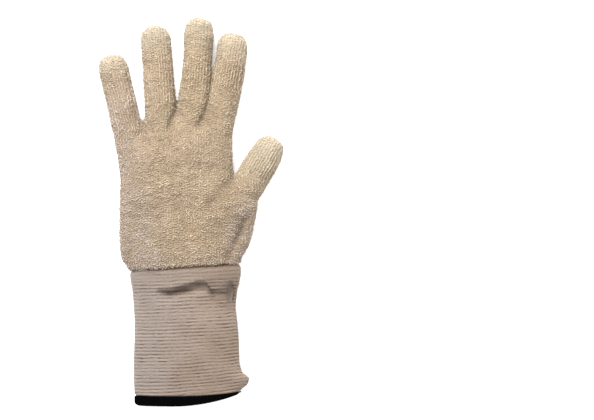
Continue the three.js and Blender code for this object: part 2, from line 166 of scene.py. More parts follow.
def oval(left, right, height, inset, sides):
    """Points round a flattened oval from its right end over the top: x, z and how far up each is."""
    bottom, top = inset - REST_PRESS, height - inset
    angle = np.linspace(0, 2 * np.pi, FINE_OVAL + 1)
    c, s = np.cos(angle), np.sin(angle)
    power = 2 / np.where(s > 0, ROUND_ABOVE, ROUND_BELOW)
    up = np.sign(s) * abs(s) ** power
    x = (left + right) / 2 + (right - left) / 2 * np.sign(c) * abs(c) ** power
    z = (bottom + top) / 2 + (top - bottom) / 2 * up
    heading = np.unwrap(np.arctan2(np.diff(z), np.diff(x)))
    bend = np.concatenate([[0], abs(np.diff(heading))])
    reached = np.concatenate([[0], np.cumsum(np.hypot(np.diff(x), np.diff(z)) + BEND_LENGTH * bend)])
    wanted = reached[-1] * np.arange(sides) / sides
    around = [np.interp(wanted, reached, values) for values in (x, z, up)]
    around[1] = np.maximum(around[1], inset)
    return around


def seam_lean(x, away):
    """How much of the seam's slope is left at a distance from the seam."""
    return SEAM_SLOPE * x * max(0.0, 1 - away / SEAM_LEAN_REACH)


def cuff_dent(along, x):
    """How deep the dents push the cuff's upper cloth down, as a share of its thickness."""
    depth = np.zeros_like(x)
    for centre, across, reach_along, reach_across, deep, degrees in CUFF_DENTS:
        c, s = np.cos(np.radians(degrees)), np.sin(np.radians(degrees))
        away, ahead = x - across * CUFF_WIDTH, (along - centre) * CUFF_LENGTH
        long = (away * c + ahead * s) / (reach_across * CUFF_WIDTH)
        short = (ahead * c - away * s) / (reach_along * CUFF_LENGTH)
        depth += deep * np.exp(-(long**2) - short**2)
    return depth


def cuff_ring(along, inset, sides, rise=None):
    """One ring of the cuff with how far up each point is, drawn smaller all round by an inset."""
    thickness = column(CUFF_SECTIONS, "thick", along) * CUFF_THICKNESS
    left = column(CUFF_SECTIONS, "left", along) * CUFF_WIDTH + inset
    right = column(CUFF_SECTIONS, "right", along) * CUFF_WIDTH - inset
    x, z, up = oval(left, right, thickness, inset, sides)
    z = z - cuff_dent(along, x) * CUFF_THICKNESS * np.maximum(0, up)
    rise = HEM_TOP_RISE * along**3 if rise is None else rise
    lifted = rise * np.maximum(0, (x / CUFF_WIDTH - RISE_START) / (0.5 - RISE_START)) ** 2
    y = -along * CUFF_LENGTH + seam_lean(x, along * CUFF_LENGTH) + lifted
    return np.stack([x, y, z], 1), up


def tuck_ring(y, inset, sides):
    """The turned-in top of the cuff, inside the hand's mouth."""
    half = SEAM_WIDTH / 2 - inset
    x, z, up = oval(-half, half, SEAM_THICKNESS, inset, sides)
    return np.stack([x, y + seam_lean(x, 0), z], 1), up


def outwards(ring):
    """The ways out of a ring at its points, level with the ring."""
    along = np.roll(ring, -1, 0) - np.roll(ring, 1, 0)
    out = np.stack([along[:, 2], np.zeros(len(ring)), -along[:, 0]], 1)
    return out / np.maximum(np.linalg.norm(out, axis=1, keepdims=True), 1e-9)


def value_noise(points, size, seed):
    """Smooth noise from -1 to 1 over points of one to three coordinates, with lumps of a given size."""
    rng = np.random.default_rng(seed)
    table = rng.uniform(-1, 1, 4096)
    places = np.atleast_2d(points.T).T / size
    low = np.floor(places).astype(np.int64)
    part = places - low
    part = part * part * (3 - 2 * part)
    total = np.zeros(len(places))
    for corner in np.ndindex(*(2,) * places.shape[1]):
        key = np.zeros(len(places), np.int64)
        weight = np.ones(len(places))
        for axis, step in enumerate(corner):
            key = key * 8191 + (low[:, axis] + step) * (73856093 + 2 * axis)
            weight *= part[:, axis] if step else 1 - part[:, axis]
        total += weight * table[(key ^ (key >> 13)) & 4095]
    return total


def select_only(*objects):
    """Deselects everything, then selects these objects and makes the first one active."""
    bpy.ops.object.select_all(action="DESELECT")
    for piece in objects:
        piece.select_set(True)
    bpy.context.view_layer.objects.active = objects[0]


def mesh_points(mesh):
    points = np.empty(len(mesh.vertices) * 3)
    mesh.vertices.foreach_get("co", points)
    return points.reshape(-1, 3)


def mesh_normals(mesh):
    normals = np.empty(len(mesh.vertices) * 3)
    mesh.vertices.foreach_get("normal", normals)
    return normals.reshape(-1, 3)


def set_points(mesh, points):
    mesh.vertices.foreach_set("co", np.ascontiguousarray(points, np.float32).ravel())
    mesh.update()


def add_attribute(mesh, name, values):
    attribute = mesh.attributes.new(name, "FLOAT", "POINT")
    attribute.data.foreach_set("value", np.ascontiguousarray(values, np.float32))


def finish_piece(piece, name, finish, replaced=None):
    """Names a piece, gives it its finish, and says what it rides on and stands for."""
    piece.name = piece.data.name = name
    piece.data.materials.clear()
    piece.data.materials.append(finish)
    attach(piece, "root")
    if replaced:
        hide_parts(replaced)
    return piece


def ring_tube(rings, tones=None, down=None):
    """A wall that closes on itself in both ways: a grid primitive whose corners are put on rings.
    Its UV map is in metres, round the wall and down it, and tones is a value for each ring's points."""
    sides, count = len(rings[0]), len(rings)
    bpy.ops.object.select_all(action="DESELECT")
    bpy.ops.mesh.primitive_grid_add(x_subdivisions=sides, y_subdivisions=count, calc_uvs=True)
    tube = bpy.context.object
    grid = np.stack([*rings, rings[0]])
    grid = np.concatenate([grid, grid[:, :1]], 1)
    set_points(tube.data, to_frame(grid.reshape(-1, 3)))
    if tones is not None:
        shades = np.stack([*tones, tones[0]])
        add_attribute(tube.data, "tone", np.concatenate([shades, shades[:, :1]], 1).ravel())
    if down is not None:
        middle = grid[count // 4]
        steps = np.linalg.norm(np.diff(middle, axis=0), axis=1)
        reached = np.concatenate([[0], np.cumsum(steps)])
        length = np.append(down, down[-1] + 1)
        corners = np.empty(len(tube.data.loops), np.int64)
        tube.data.loops.foreach_get("vertex_index", corners)
        places = np.stack([reached[corners % (sides + 1)], length[corners // (sides + 1)]], 1) * MM
        tube.data.uv_layers[0].uv.foreach_set("vector", places.astype(np.float32).ravel())
    tube.data.shade_smooth()
    select_only(tube)
    bpy.ops.object.mode_set(mode="EDIT")
    bpy.ops.mesh.select_all(action="SELECT")
    bpy.ops.mesh.remove_doubles(threshold=0.000001)
    bpy.ops.mesh.normals_make_consistent(inside=False)
    bpy.ops.object.mode_set(mode="OBJECT")
    return tube


def along_line(x, y, line):
    """Each point's distance from a line of points, and how far along the line it is, from 0 to 1."""
    line = np.array(line, float)
    lengths = np.linalg.norm(np.diff(line, axis=0), axis=1)
    nearest, share = np.full(len(x), 1e9), np.zeros(len(x))
    passed = 0.0
    for start, end, length in zip(line[:-1], line[1:], lengths):
        way = (end - start) / length
        t = np.clip((x - start[0]) * way[0] + (y - start[1]) * way[1], 0, length)
        away = np.hypot(x - start[0] - way[0] * t, y - start[1] - way[1] * t)
        closer = away < nearest
        nearest = np.where(closer, away, nearest)
        share = np.where(closer, (passed + t) / lengths.sum(), share)
        passed += length
    return nearest, share


# Finishes


def new_finish(name, roughness, sheen, sheen_roughness=0.6):
    """A cloth finish with its shader ready, and the tree that its nodes go into."""
    finish = bpy.data.materials.new(name)
    finish.use_nodes = True
    tree = finish.node_tree
    shader = tree.nodes["Principled BSDF"]
    shader.inputs["Roughness"].default_value = roughness
    shader.inputs["Specular IOR Level"].default_value = 0.2
    shader.inputs["Sheen Weight"].default_value = sheen
    shader.inputs["Sheen Roughness"].default_value = sheen_roughness
    return finish, tree, shader


def add_node(tree, kind, **settings):
    node = tree.nodes.new(kind)
    for name, value in settings.items():
        setattr(node, name, value)
    return node


def join(tree, source, target):
    tree.links.new(source, target)


def math_node(tree, operation, first, second=None, clamp=False):
    """A maths node on two sockets or numbers."""
    node = add_node(tree, "ShaderNodeMath", operation=operation, use_clamp=clamp)
    for socket, value in zip(node.inputs, (first, second)):
        if isinstance(value, (int, float)):
            socket.default_value = value
        elif value is not None:
            join(tree, value, socket)
    return node.outputs[0]


def noise_node(tree, vector, scale, detail=2.0, roughness=0.5):
    node = add_node(tree, "ShaderNodeTexNoise")
    node.inputs["Scale"].default_value = scale
    node.inputs["Detail"].default_value = detail
    node.inputs["Roughness"].default_value = roughness
    join(tree, vector, node.inputs["Vector"])
    return node.outputs["Fac"]


def mixed(tree, share, first, second):
    """A colour between two colours or sockets."""
    node = add_node(tree, "ShaderNodeMix", data_type="RGBA")
    join(tree, share, node.inputs["Factor"])
    for socket, value in ((node.inputs["A"], first), (node.inputs["B"], second)):
        if isinstance(value, bpy.types.NodeSocket):
            join(tree, value, socket)
        else:
            socket.default_value = (*value, 1)
    return node.outputs["Result"]


def bump(tree, shader, height, distance, strength=1.0):
    node = add_node(tree, "ShaderNodeBump")
    node.inputs["Strength"].default_value = strength
    node.inputs["Distance"].default_value = distance
    join(tree, height, node.inputs["Height"])
    join(tree, node.outputs["Normal"], shader.inputs["Normal"])


def object_place(tree):
    return add_node(tree, "ShaderNodeTexCoord").outputs["Object"]


def attribute(tree, name):
    return add_node(tree, "ShaderNodeAttribute", attribute_name=name).outputs["Fac"]


def terry_finish(name, colours, shade):
    """Unbleached looped cotton: every loop its own tone, soft patches, and a painted highlight that makes the tips
    paler.
    """
    finish, tree, shader = new_finish(name, 0.95, 0.25)
    place = object_place(tree)
    patches = noise_node(tree, place, 45, 3)
    fibres = noise_node(tree, place, 1900, 3, 0.7)
    spread = math_node(tree, "MULTIPLY_ADD", patches, 0.5)
    tree.nodes[-1].inputs[2].default_value = -0.25
    tone = math_node(tree, "ADD", attribute(tree, "tone"), spread)
    tone = math_node(tree, "ADD", tone, math_node(tree, "MULTIPLY", math_node(tree, "SUBTRACT", fibres, 0.5), 0.5))
    # shade is a painted shade offset: at -0.05 the ground cloth is set darker than the loops
    tone = math_node(tree, "ADD", tone, shade, clamp=True)
    body = mixed(tree, tone, colours.terry_dark, colours.terry_light)
    cool = mixed(tree, tone, colours.terry_dark, colours.terry_cool)
    broad = math_node(tree, "MULTIPLY_ADD", noise_node(tree, place, 24, 2), 0.8)
    tree.nodes[-1].inputs[2].default_value = -0.4
    body = mixed(tree, math_node(tree, "ADD", broad, attribute(tree, "grey"), clamp=True), body, cool)
    # Painted highlight: the digits' tips are mixed towards a paler colour.
    lit_tips = mixed(tree, attribute(tree, "tip_highlight"), body, colours.terry_tip_highlight)
    join(tree, lit_tips, shader.inputs["Base Color"])
    bump(tree, shader, fibres, 0.0003, 0.6)
    return finish


def knit_finish(name, colours):
    """Ribbed cotton knit: pale crests and grooves darkened with painted shade, with small stitches along each rib."""
    finish, tree, shader = new_finish(name, 0.92, 0.2)
    place = object_place(tree)
    laid = add_node(tree, "ShaderNodeUVMap", uv_map="UVMap").outputs["UV"]
    stretched = add_node(tree, "ShaderNodeMapping")
    stretched.inputs["Scale"].default_value = (1, 2.6, 1)
    join(tree, laid, stretched.inputs["Vector"])
    dashes = noise_node(tree, stretched.outputs["Vector"], 420, 2)
    fibres = noise_node(tree, place, 2100, 3, 0.7)
    patches = noise_node(tree, place, 38, 3)
    stitches = add_node(tree, "ShaderNodeTexWave", wave_type="BANDS", bands_direction="X")
    stitches.inputs["Scale"].default_value = 2 * np.pi / 20 / 0.0013
    stitches.inputs["Distortion"].default_value = 1.2
    stitches.inputs["Detail"].default_value = 1
    stitches.inputs["Detail Scale"].default_value = 1
    join(tree, laid, stitches.inputs["Vector"])
    tone = math_node(tree, "MULTIPLY", attribute(tree, "tone"), 0.6)
    tone = math_node(tree, "ADD", tone, math_node(tree, "MULTIPLY", dashes, 0.6))
    tone = math_node(tree, "ADD", tone, math_node(tree, "MULTIPLY", patches, 0.4))
    tone = math_node(tree, "ADD", tone, math_node(tree, "MULTIPLY", fibres, 0.25))
    tone = math_node(tree, "SUBTRACT", tone, 0.5, clamp=True)
    body = mixed(tree, tone, colours.knit_dark, colours.knit_light)
    warm_and_shaded = mixed(tree, tone, colours.knit_dark, colours.knit_warm_and_shaded)
    # Towards the right the knit is mixed to a yellower and darker colour: the hue is the knit's own, the darkening is
    # painted shade for the side away from the key light.
    sideways = add_node(tree, "ShaderNodeSeparateXYZ")
    join(tree, place, sideways.inputs[0])
    broad = math_node(tree, "MULTIPLY", noise_node(tree, place, 22, 2), 1.2)
    broad = math_node(tree, "SUBTRACT", broad, 0.25)
    broad = math_node(tree, "ADD", broad, math_node(tree, "MULTIPLY", sideways.outputs[0], 8.0), clamp=True)
    body = mixed(tree, broad, body, warm_and_shaded)
    join(tree, body, shader.inputs["Base Color"])
    height = math_node(tree, "ADD", stitches.outputs["Fac"], fibres)
    bump(tree, shader, height, 0.0003, 0.3)
    return finish


def thread_finish(name, dark, light, roughness, sheen):
    """Twisted sewing thread or tape: a fine grain between two tones."""
    finish, tree, shader = new_finish(name, roughness, sheen)
    place = object_place(tree)
    fibres = noise_node(tree, place, 2400, 3, 0.7)
    patches = noise_node(tree, place, 160, 2)
    tone = math_node(tree, "ADD", math_node(tree, "MULTIPLY", fibres, 0.6), math_node(tree, "MULTIPLY", patches, 0.4))
    join(tree, mixed(tree, tone, dark, light), shader.inputs["Base Color"])
    bump(tree, shader, fibres, 0.0002, 0.6)
    return finish


# Sizes and colours that a user would change


def length_setting(name, description, default):
    return bpy.props.FloatProperty(name=name, description=description, default=default, unit="LENGTH", precision=5)


def colour_setting(name, description, default):
    return bpy.props.FloatVectorProperty(
        name=name, description=description, default=default, subtype="COLOR", min=0, max=1
    )


class GloveColours(bpy.types.PropertyGroup):
    """Colours of the glove's cloths."""

    terry_dark: colour_setting("Terry shade", "The darkest loops of the terry", (0.205, 0.148, 0.091))
    terry_light: colour_setting("Terry light", "The palest loops of the terry", (0.54, 0.425, 0.28))
    terry_cool: colour_setting("Terry cool", "Loops where the terry is greyer", (0.48, 0.395, 0.35))
    # A painted highlight: the colour that the tips of the digits are painted towards.
    terry_tip_highlight: colour_setting("Terry faded", "Loops at the tips of the digits", (0.57, 0.52, 0.41))
    # The darkest knit tone: in the knit, the painted shade of the grooves and creases reaches it; the seam thread also
    # uses it for its darker grain.
    knit_dark: colour_setting("Knit shade", "Grooves of the ribbed knit", (0.070, 0.042, 0.026))
    knit_light: colour_setting("Knit light", "Crests of the ribbed knit", (0.292, 0.246, 0.215))
    # Yellower and darker: the hue is the knit's own, the darkening is painted shade on the cuff's right side.
    knit_warm_and_shaded: colour_setting("Knit warm", "Crests where the knit is yellower", (0.262, 0.192, 0.139))
    hem_dark: colour_setting("Hem shade", "The darker tone of the black binding", (0.0005, 0.0005, 0.0005))
    hem_light: colour_setting("Hem light", "The lighter tone of the black binding", (0.0018, 0.0018, 0.0018))


class GloveTerry(bpy.types.PropertyGroup):
    """Sizes of the terry cloth."""

    weave: length_setting("Cloth grid", "Size of the cloth's faces", 0.0014)
    sink: length_setting("Ground depth", "How far the cloth's ground lies under the loops' tips", 0.0013)
    spacing: length_setting("Loop spacing", "Distance between neighbouring loops", 0.00188)
    loop_radius: length_setting("Loop radius", "Radius of a loop of yarn", 0.00072)
    yarn_radius: length_setting("Yarn radius", "Radius of the yarn itself", 0.00047)


class GloveCuff(bpy.types.PropertyGroup):
    """Sizes of the ribbed cuff, its side seam and its hem."""

    rib_pitch: length_setting("Rib pitch", "Distance from rib to rib", 0.00316)
    rib_depth: length_setting("Rib depth", "Depth of the grooves between ribs", 0.0008)
    stitch_pitch: length_setting("Stitch pitch", "Distance between overlock stitches", 0.0016)
    binding_ridge: length_setting("Binding ridge", "Distance between the hem's thread ridges", 0.0013)


class GloveStage(bpy.types.PropertyGroup):
    """The floor, the lights and the camera."""

    lens: bpy.props.FloatProperty(
        name="Lens", description="The camera's focal length", default=100, unit="CAMERA"
    )
    pixel: length_setting("Picture scale", "Width of one pixel of the picture on the glove", 0.000915)
    sky: bpy.props.FloatProperty(name="Sky", description="Strength of the light from all round", default=0.55)
    key: bpy.props.FloatProperty(name="Key light", description="Power of the main light", default=46, unit="POWER")
    fill: bpy.props.FloatProperty(name="Fill light", description="Power of the second light", default=12, unit="POWER")


# The terry hand


def smoothed(points, edges, rounds, pulls=(0.5, -0.53), share=1.0):
    """Evens out a remeshed surface without shrinking it: each round pulls in, then pushes back.
    share is how much each point follows."""
    count = np.bincount(edges.ravel(), minlength=len(points)).astype(float)[:, None]
    for _ in range(rounds):
        for pull in pulls:
            total = np.zeros_like(points)
            for axis in range(3):
                total[:, axis] = np.bincount(edges[:, 0], points[edges[:, 1], axis], len(points))
                total[:, axis] += np.bincount(edges[:, 1], points[edges[:, 0], axis], len(points))
            points = points + pull * share * (total / count - points)
    return points


def is_outside(tree, point, normal):
    """True where a point of the cloth can be reached from straight above or below the glove."""
    start = Vector(point) + Vector(normal) * 0.0005
    return tree.ray_cast(start, Vector((0, 0, 1)))[0] is None or tree.ray_cast(start, Vector((0, 0, -1)))[0] is None


def digit_frame(name):
    """A digit's root in millimetres, the way along it and the way across it."""
    digit = DIGITS[name]
    lean = np.radians(digit["lean"])
    root = np.array([digit["across"] * PALM_WIDTH, digit["along"] * PALM_LENGTH])
    return root, np.array([np.sin(lean), np.cos(lean)]), np.array([np.cos(lean), -np.sin(lean)])


# How far from its root a digit comes clear of the palm, in millimetres
CLEAR_OF_PALM = {"little": 27, "ring": 43, "middle": 54, "index": 59, "thumb": 34}


def digit_shares(points):
    """How far along each digit the points are, in millimetres, and how far across it."""
    return {
        name: ((points[:, :2] - root) @ ahead, (points[:, :2] - root) @ across)
        for name in DIGITS
        for root, ahead, across in [digit_frame(name)]
    }


def regions(points):
    """The digit that each point, in millimetres, belongs to, or the palm."""
    owner = np.full(len(points), "palm", dtype="<U8")
    best = np.full(len(points), 1.2)
    for name, (along, across) in digit_shares(points).items():
        away = abs(across) / (DIGITS[name]["wide"] * DIGIT_WIDTH / 2)
        inside = (along > CLEAR_OF_PALM[name]) & (away < best)
        owner[inside] = name
        best[inside] = away[inside]
    return owner


def painted_tip_light(points):
    """How much painted light the cloth gets: the digits' ends, and the thumb from lower down, are painted paler than
    the rest, a painted highlight for light on their rounded tips.
    """
    tip_highlight = np.zeros(len(points))
    for name, (along, across) in digit_shares(points).items():
        digit = DIGITS[name]
        share = along / (digit["long"] * DIGIT_LENGTH)
        near = abs(across) < digit["wide"] * DIGIT_WIDTH * 0.6
        start, strength = (0.25, 0.45) if name == "thumb" else (0.72, 0.4)
        pale = strength * np.clip((share - start) / (1 - start), 0, 1)
        tip_highlight = np.where(near, np.maximum(tip_highlight, pale), tip_highlight)
    return tip_highlight


# Where the terry is greyer: middles of the patches, how far they reach, and how strong they are
GREY_PATCHES = [
    ((-66, 24), (34, 66), 2.3),
    ((-62, 130), (18, 44), 0.8),
    ((56, 24), (15, 34), 1.6),
    ((30, 4), (24, 9), 0.4),
    ((-20, 4), (50, 10), 0.3),
    ((-90, 178), (14, 26), 0.5),
]


def greying(points):
    """How grey the cloth is, from 0 to a little over 1."""
    grey = np.full(len(points), 0.08)
    for (x, y), (reach_x, reach_y), strength in GREY_PATCHES:
        grey += strength * np.exp(-(((points[:, 0] - x) / reach_x) ** 2) - ((points[:, 1] - y) / reach_y) ** 2)
    return grey


def leaning(places):
    """How the loops lie at each place, from 0, in ribs along the digits, to 1, in crinkles across."""
    share = 0.66 + 0.6 * value_noise(places, 24, 31)
    for name, (along, across) in digit_shares(places).items():
        digit = DIGITS[name]
        near = (abs(across) < digit["wide"] * DIGIT_WIDTH * 0.6) & (along > CLEAR_OF_PALM[name] - 16)
        wanted = {"middle": 0.55, "ring": 0.35}.get(name, 0.1) + 0.45 * (along > 0.7 * digit["long"] * DIGIT_LENGTH)
        share = np.where(near, wanted + 0.3 * value_noise(places, 14, 32), share)
    return np.clip(share, 0, 1)


def painted_fold_shade(places):
    """How much the cloth is darkened with painted shade in the folds of the hand's upper side."""
    shade = np.zeros(len(places))
    for line, depth, width in HAND_CREASES:
        away, share = along_line(places[:, 0], places[:, 1], line)
        shade += 0.075 * depth * np.exp(-((away / width) ** 2)) * np.clip(np.minimum(share, 1 - share) * 6, 0, 1)
    return shade * (places[:, 2] > 12)


def own_grid(places):
    """Each place in the rows of its own region: how far across, how far along, and the way along."""
    owner = regions(places)
    across, along = places[:, 0].copy(), places[:, 1].copy()
    ways = np.tile([0.0, 1.0, 0.0], (len(places), 1))
    for name, (u, v) in ((name, pair[::-1]) for name, pair in digit_shares(places).items()):
        own = owner == name
        across[own], along[own] = u[own], v[own]
        ways[own] = [*digit_frame(name)[1], 0.0]
    return across, along, ways


def crinkles(places):
    """Small ridges of the cloth in millimetres: ribs along the digits, or crinkles across them."""
    across, along, _ = own_grid(places)
    share = leaning(places)
    lying = value_noise(np.stack([across / 8, along / 2.9], 1), 1, 33)
    ribs = np.where(regions(places) == "palm", 0.3, 0.5)
    standing = ribs * np.cos(2 * np.pi * across / WALE) + 0.7 * value_noise(
        np.stack([across / (2 * WALE), along / 9], 1), 1, 34
    )
    return 0.42 * (share * lying + (1 - share) * standing)


def outer_points(cloth, context):
    """A cloth's points and normals, and which of them are on its outer face."""
    points, normals = mesh_points(cloth.data), mesh_normals(cloth.data)
    tree = BVHTree.FromObject(cloth, context.evaluated_depsgraph_get())
    return points, normals, np.array([is_outside(tree, p, n) for p, n in zip(points, normals)])


class GLOVE_OT_terry_hand(bpy.types.Operator):
    """Makes the ground cloth of the hand: palm, fingers and thumb as one hollow shell"""

    bl_idname = "glove.terry_hand"
    bl_label = "Terry Hand"

    def execute(self, context):
        sizes = context.scene.glove_terry
        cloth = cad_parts["terry_hand"].copy()
        cloth.data = cloth.data.copy()
        context.collection.objects.link(cloth)
        for key in [key for key in cloth.keys() if key.startswith("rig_")]:
            del cloth[key]
        cloth.parent = None
        select_only(cloth)
        bpy.ops.object.mode_set(mode="EDIT")
        bpy.ops.mesh.select_all(action="SELECT")
        bpy.ops.mesh.remove_doubles(threshold=0.00001)
        bpy.ops.object.mode_set(mode="OBJECT")
        points, normals, outside = outer_points(cloth, context)
        set_points(cloth.data, points - normals * (outside * sizes.sink)[:, None])
        remesh = cloth.modifiers.new("even faces", "REMESH")
        remesh.mode = "VOXEL"
        remesh.voxel_size = sizes.weave
        bpy.ops.object.modifier_apply(modifier=remesh.name)
        mesh = cloth.data
        edges = np.empty(len(mesh.edges) * 2, np.int64)
        mesh.edges.foreach_get("vertices", edges)
        edges = edges.reshape(-1, 2)
        points = smoothed(mesh_points(mesh), edges, 24)
        place = points / MM - TO_FRAME
        web = np.exp(-(((place[:, 0] - 4) / 24) ** 4) - ((place[:, 1] - 147) / 13) ** 4) * (place[:, 2] > 11)
        points = smoothed(points, edges, 45, (0.5,), web[:, None] * np.array([0, 0, 1]))
        set_points(mesh, points)
        points, normals, outside = outer_points(cloth, context)
        place = points / MM - TO_FRAME
        facing = np.clip(np.where(outside, normals[:, 2], -normals[:, 2]) * 1.4, 0, 1)
        sag = 1.1 * value_noise(place[:, :2], 26, 3) + 0.4 * value_noise(place[:, :2], 12, 4)
        for line, depth, width in HAND_CREASES:
            away, share = along_line(place[:, 0], place[:, 1], line)
            sag -= depth * np.exp(-((away / width) ** 2)) * np.sin(np.pi * np.clip(share * 0.9 + 0.1, 0, 1)) ** 0.6
        points[:, 2] += sag * facing * MM
        from_seam = np.maximum(place[:, 1] - SEAM_SLOPE * place[:, 0], -1)
        edge = np.clip(1 - from_seam / 5, 0, 1)
        proud = crinkles(place) * np.clip(normals[:, 2] + 0.6, 0.3, 1) + 1.0 * edge
        points += normals * (outside * proud)[:, None] * MM
        hanging = 0.7 + 0.4 * value_noise(place[:, :1], 9, 41) + 1.2 * np.clip((place[:, 0] - 36) / 12, 0, 1)
        points[:, 1] -= hanging * edge * MM
        points[:, 2] = np.maximum(points[:, 2], 0.0004)
        set_points(mesh, smoothed(points, edges, 2))
        if len(mesh.vertices) < 5000:
            raise RuntimeError("the terry cloth came out too coarse to carry its loops")
        mesh.shade_smooth()
        # The outer ground is given a low tone, painted shade for the gaps between the loops, and the folds are
        # darkened with painted shade.
        add_attribute(mesh, "tone", np.where(outside, 0.15, 0.55) - painted_fold_shade(place))
        add_attribute(mesh, "tip_highlight", painted_tip_light(place))
        add_attribute(mesh, "grey", greying(place))
        finish = terry_finish("terry ground", context.scene.glove_colours, -0.05)
        finish_piece(cloth, "terry_cloth", finish, "terry_hand")
        print(cloth.name, len(mesh.polygons) * 2)
        return {"FINISHED"}


class Spots:
    """Places for loops, kept apart by looking them up in a coarse grid."""

    def __init__(self, spacing):
        self.spacing = spacing
        self.cells = {}
        self.places = []
        self.normals = []

    def add(self, place, normal, least):
        key = tuple(int(np.floor(value / self.spacing)) for value in place)
        x, y, z = place
        for i in (-1, 0, 1):
            for j in (-1, 0, 1):
                for k in (-1, 0, 1):
                    for ox, oy, oz in self.cells.get((key[0] + i, key[1] + j, key[2] + k), ()):
                        if (ox - x) ** 2 + (oy - y) ** 2 + (oz - z) ** 2 < least * least:
                            return
        self.cells.setdefault(key, []).append((x, y, z))
        self.places.append(place)
        self.normals.append(normal)


def rows_of_loops(tree, spots, rng):
    """Loops in straight rows along the palm and along each digit, on both faces of the glove."""
    s = spots.spacing / MM
    for region in ("palm", *DIGITS):
        if region == "palm":
            root, ahead, across = np.array([0.0, 0.0]), np.array([0.0, 1.0]), np.array([1.0, 0.0])
            reach_across, reach_along = 80, (-4, 150)
        else:
            root, ahead, across = digit_frame(region)
            reach_across, reach_along = 20, (CLEAR_OF_PALM[region] - 6, 130)
        columns = np.arange(-(reach_across // WALE), reach_across // WALE + 1) * WALE
        rows = np.arange(*reach_along, s * s / WALE)
        grid = np.array([(u, v + (s * 0.4 if i % 2 else 0)) for i, u in enumerate(columns) for v in rows])
        jitter = 0.32 if region == "palm" else 0.15
        grid += rng.uniform(-jitter, jitter, grid.shape) * s
        flat = root + grid[:, 1:] * ahead + grid[:, :1] * across
        flat = flat[regions(flat) == region]
        for x, y in (flat + TO_FRAME[:2]) * MM:
            for height, way in ((0.06, -1), (-0.02, 1)):
                place, normal, _, _ = tree.ray_cast(Vector((x, y, height)), Vector((0, 0, way)))
                if place is not None and normal.z * way < -0.25:
                    spots.add(tuple(place), tuple(normal), spots.spacing * 0.6)


def fill_between(cloth, tree, spots, rng):
    """Loops at random places wherever the rows leave room, such as round the sides and tips."""
    mesh = cloth.data
    mesh.calc_loop_triangles()
    corners = np.empty(len(mesh.loop_triangles) * 3, np.int64)
    mesh.loop_triangles.foreach_get("vertices", corners)
    triangles = mesh_points(mesh)[corners.reshape(-1, 3)]
    cross = np.cross(triangles[:, 1] - triangles[:, 0], triangles[:, 2] - triangles[:, 0])
    size = np.linalg.norm(cross, axis=1)
    normals = cross / np.maximum(size[:, None], 1e-12)
    picks = rng.choice(len(triangles), 90000, p=size / size.sum())
    a, b = np.sqrt(rng.random(len(picks))), rng.random(len(picks))
    shares = np.stack([1 - a, a * (1 - b), a * b], 1)
    places = np.einsum("ij,ijk->ik", shares, triangles[picks])
    for place, normal in zip(places, normals[picks]):
        before = len(spots.places)
        spots.add(tuple(place), tuple(normal), spots.spacing * 0.84)
        if len(spots.places) > before and not is_outside(tree, place, normal):
            x, y, z = spots.places.pop()
            spots.normals.pop()
            key = tuple(int(np.floor(value / spots.spacing)) for value in (x, y, z))
            spots.cells[key].remove((x, y, z))


def loop_of_yarn(sizes):
    """One loop of yarn: a small torus stood upright and cut off below its middle."""
    bpy.ops.object.select_all(action="DESELECT")
    bpy.ops.mesh.primitive_torus_add(
        major_segments=10,
        minor_segments=3,
        major_radius=sizes.loop_radius,
        minor_radius=sizes.yarn_radius,
        rotation=(np.pi / 2, 0, 0),
    )
    loop = bpy.context.object
    bpy.ops.object.transform_apply(location=True, rotation=True, scale=True)
    bpy.ops.object.mode_set(mode="EDIT")
    bpy.ops.mesh.select_all(action="SELECT")
    bpy.ops.mesh.bisect(
        plane_co=(0, 0, -sizes.loop_radius * 0.35), plane_no=(0, 0, 1), use_fill=True, clear_inner=True
    )
    bpy.ops.mesh.select_all(action="SELECT")
    bpy.ops.mesh.normals_make_consistent(inside=False)
    bpy.ops.mesh.quads_convert_to_tris()
    bpy.ops.object.mode_set(mode="OBJECT")
    points = mesh_points(loop.data)
    faces = np.array([tuple(face.vertices) for face in loop.data.polygons])
    bpy.data.objects.remove(loop)
    return points, faces


def unit(vectors):
    return vectors / np.maximum(np.linalg.norm(vectors, axis=-1, keepdims=True), 1e-9)


def many_copies(name, points, faces, places, frames, values):
    """One mesh of many copies of a small shape, each turned by its frame and put at its place."""
    copies = np.einsum("nij,vj->nvi", frames, points) + places[:, None, :]
    count, corners = len(places), len(points)
    numbers = (faces[None] + np.arange(count)[:, None, None] * corners).reshape(-1, 3)
    mesh = bpy.data.meshes.new(name)
    mesh.vertices.add(count * corners)
    mesh.loops.add(numbers.size)
    mesh.polygons.add(len(numbers))
    mesh.vertices.foreach_set("co", copies.astype(np.float32).ravel())
    mesh.loops.foreach_set("vertex_index", numbers.astype(np.int32).ravel())
    mesh.polygons.foreach_set("loop_start", np.arange(0, numbers.size, 3, dtype=np.int32))
    mesh.update(calc_edges=True)
    mesh.shade_smooth()
    for attribute_name, per_copy in values.items():
        add_attribute(mesh, attribute_name, np.repeat(per_copy, corners))
    piece = bpy.data.objects.new(name, mesh)
    bpy.context.collection.objects.link(piece)
    return piece


